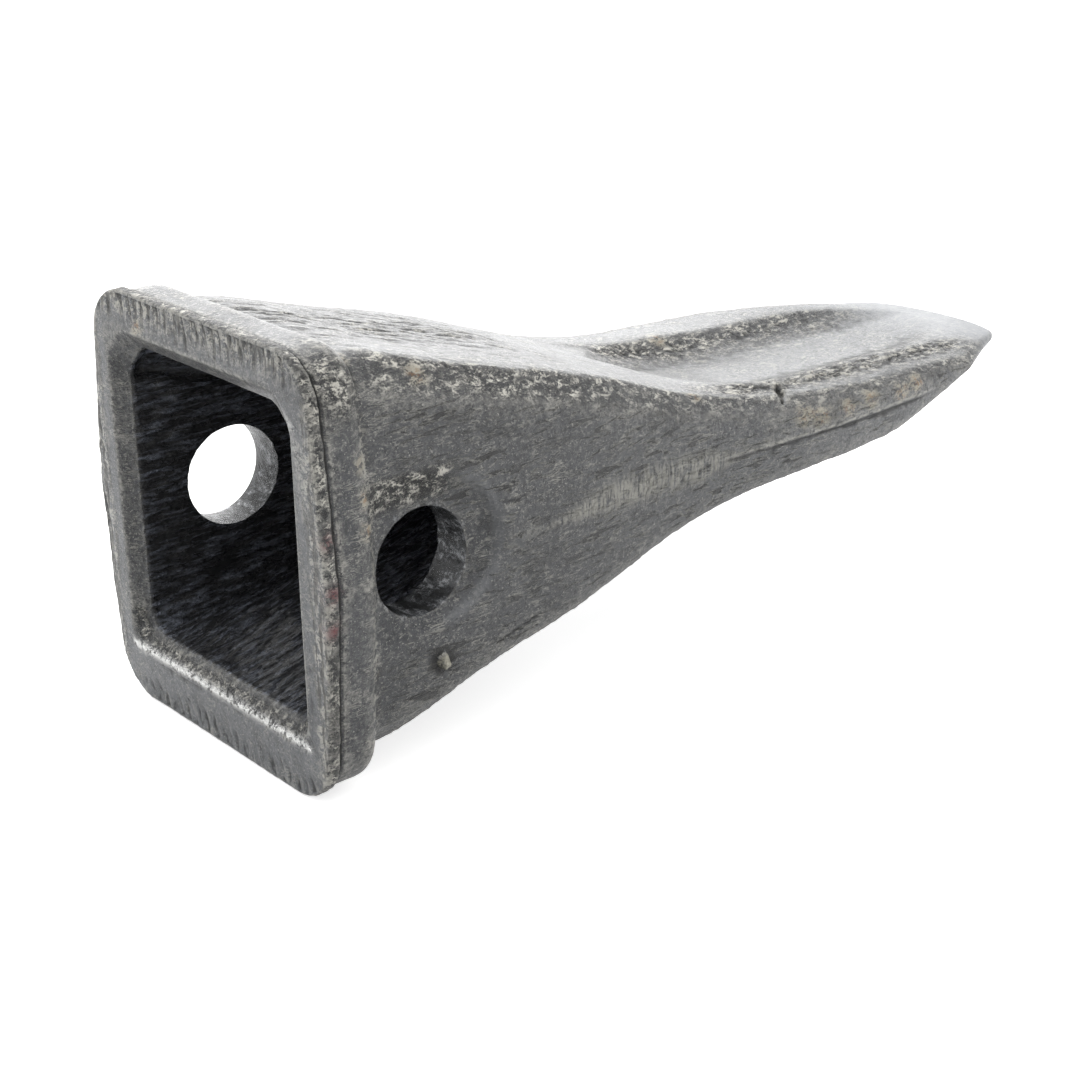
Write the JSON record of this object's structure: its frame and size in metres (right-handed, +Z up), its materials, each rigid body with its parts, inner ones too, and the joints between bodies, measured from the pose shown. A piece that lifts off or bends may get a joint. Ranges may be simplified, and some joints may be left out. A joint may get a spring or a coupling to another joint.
{
  "type": "rock bucket tooth",
  "caption": "Forged wedge tooth for an excavator bucket: tapered rear socket, cross pin bore, dished hollows on both nose faces and a thin rounded cutting tip.",
  "frame": {"origin": "centre of the pin bore, midway between the two side walls", "axes": "+X towards the cutting tip, Y along the pin axis, +Z up, square to the broad faces of the nose"},
  "size_m": [0.2625, 0.092, 0.1028],
  "materials": {
    "forged_steel": "as-forged dark grey alloy steel with scale, oily in the socket and bright in the pin bore"
  },
  "bodies": {
    "root": {"tooth": "forged_steel"}
  },
  "joints": []
}
